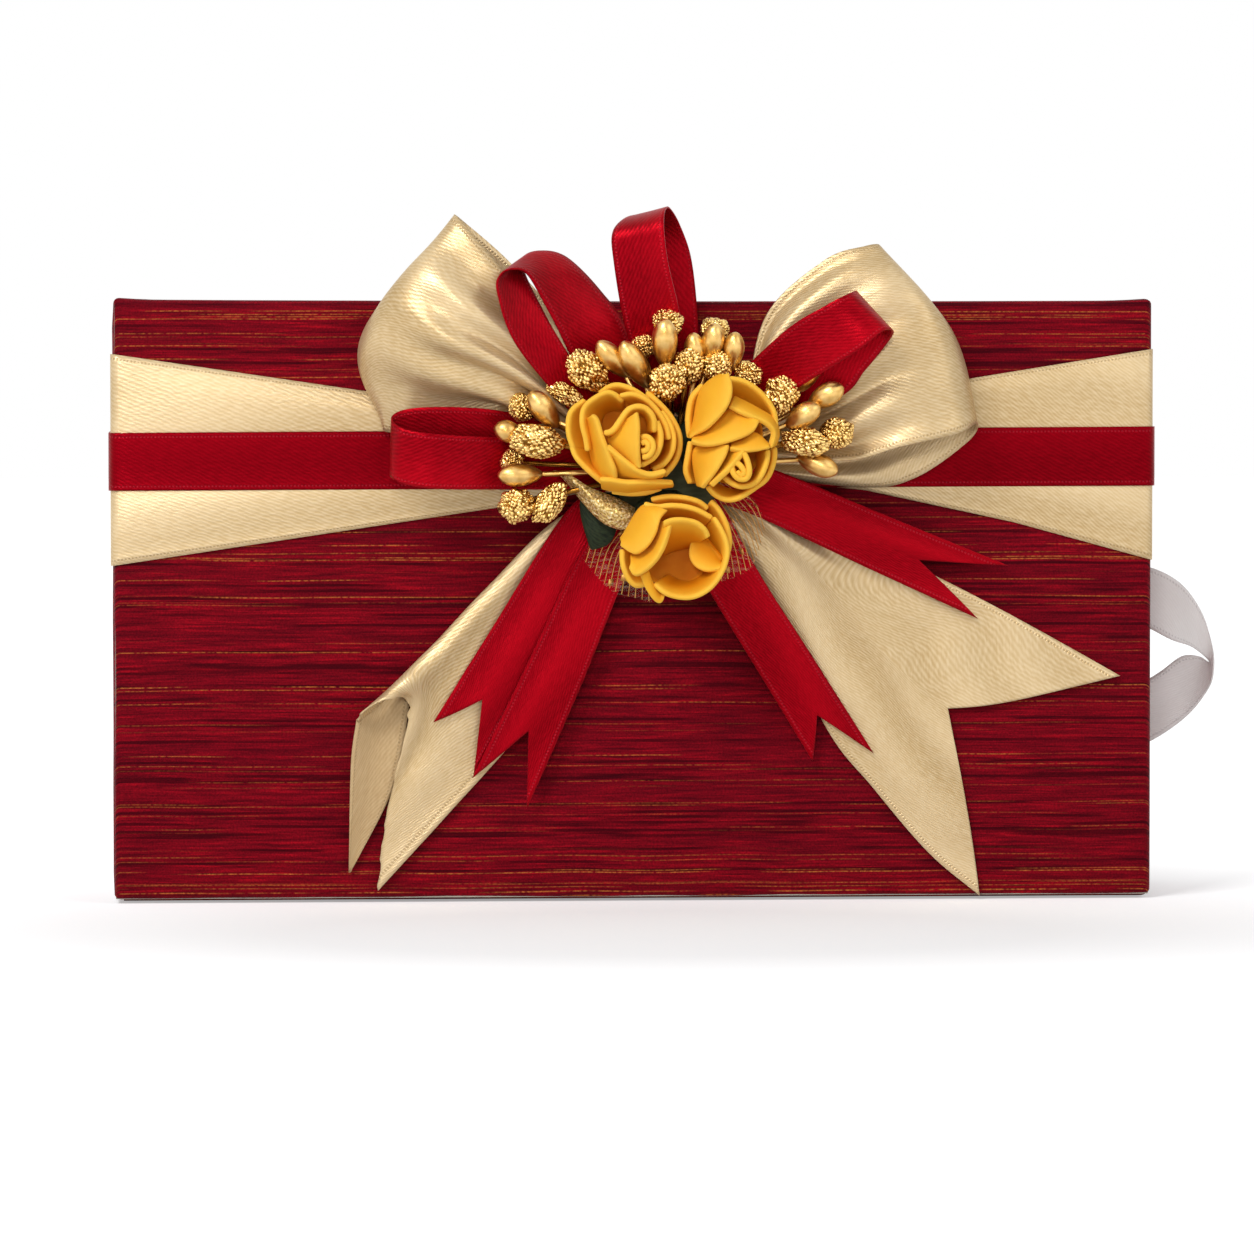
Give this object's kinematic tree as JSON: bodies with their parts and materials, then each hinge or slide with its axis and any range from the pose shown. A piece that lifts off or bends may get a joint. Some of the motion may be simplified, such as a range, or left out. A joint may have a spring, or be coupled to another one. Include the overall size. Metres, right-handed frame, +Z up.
{
  "type": "gift box",
  "caption": "Cloth-covered sleeve gift box with a slide-out tray and a ribbon pull loop, tied round with satin ribbons under a bow and a spray of foam roses.",
  "frame": {"origin": "middle of the bottom face that the box stands on", "axes": "+X along the length towards the mouth with the pull loop, -Y out of the face with the bow, +Z up"},
  "size_m": [0.2225, 0.0826, 0.1361],
  "materials": {
    "greyboard": "matt grey board",
    "red_silk": "slub silk with uneven horizontal threads",
    "lining_paper": "plain cream paper",
    "white_satin": "white satin ribbon",
    "gold_satin": "champagne satin ribbon",
    "red_satin": "red satin ribbon",
    "florist_wire": "thin tying wire",
    "pad_card": "green card",
    "rose_foam": "matt foam",
    "green_calyx": "matt green plastic",
    "bud_gold": "metallic gold coat",
    "berry_gold": "gold glitter grains",
    "leaf_cloth": "dark green cloth leaf",
    "glitter_foil": "gold glitter foil",
    "gold_net": "gold net"
  },
  "bodies": {
    "sleeve": {"beaded_berries_left": "berry_gold", "beaded_berries_right": "berry_gold", "beaded_berries_top": "berry_gold", "binding_wire": "florist_wire", "bottom_cloth": "red_silk", "bow_knot": "gold_satin", "cover_cloth": "red_silk", "end_cloth": "red_silk", "gold_band": "gold_satin", "gold_leaf": "glitter_foil", "gold_loop_left": "gold_satin", "gold_loop_right": "gold_satin", "gold_tail_left": "gold_satin", "gold_tail_left_fold": "gold_satin", "gold_tail_right": "gold_satin", "green_leaves": "leaf_cloth", "net_lower_left": "gold_net", "net_right": "gold_net", "red_band": "red_satin", "red_loop_left": "red_satin", "red_loop_right": "red_satin", "red_loop_top": "red_satin", "red_loop_upper_left": "red_satin", "red_tail_left_inner": "red_satin", "red_tail_left_outer": "red_satin", "red_tail_right_lower": "red_satin", "red_tail_right_upper": "red_satin", "rose_left_calyx": "green_calyx", "rose_left_centre": "rose_foam", "rose_left_petals": "rose_foam", "rose_lower_calyx": "green_calyx", "rose_lower_centre": "rose_foam", "rose_lower_petals": "rose_foam", "rose_right_calyx": "green_calyx", "rose_right_centre": "rose_foam", "rose_right_petals": "rose_foam", "sleeve_back_board": "greyboard", "sleeve_bottom_board": "greyboard", "sleeve_end_board": "greyboard", "sleeve_front_board": "greyboard", "sleeve_top_board": "greyboard", "smooth_buds_left": "bud_gold", "smooth_buds_right": "bud_gold", "smooth_buds_top": "bud_gold", "spray_pad": "pad_card"},
    "tray": {"tray_floor": "greyboard", "tray_upper_wall": "greyboard", "tray_lower_wall": "greyboard", "tray_inner_end": "greyboard", "tray_pull_end": "greyboard", "tray_lining": "lining_paper", "pull_end_cloth": "red_silk", "pull_ribbon": "white_satin"}
  },
  "joints": [
    {"name": "drawer_slide", "type": "slide", "parent": "sleeve", "child": "tray", "axis": [1, 0, 0], "range_m": [0, 0.165]}
  ]
}
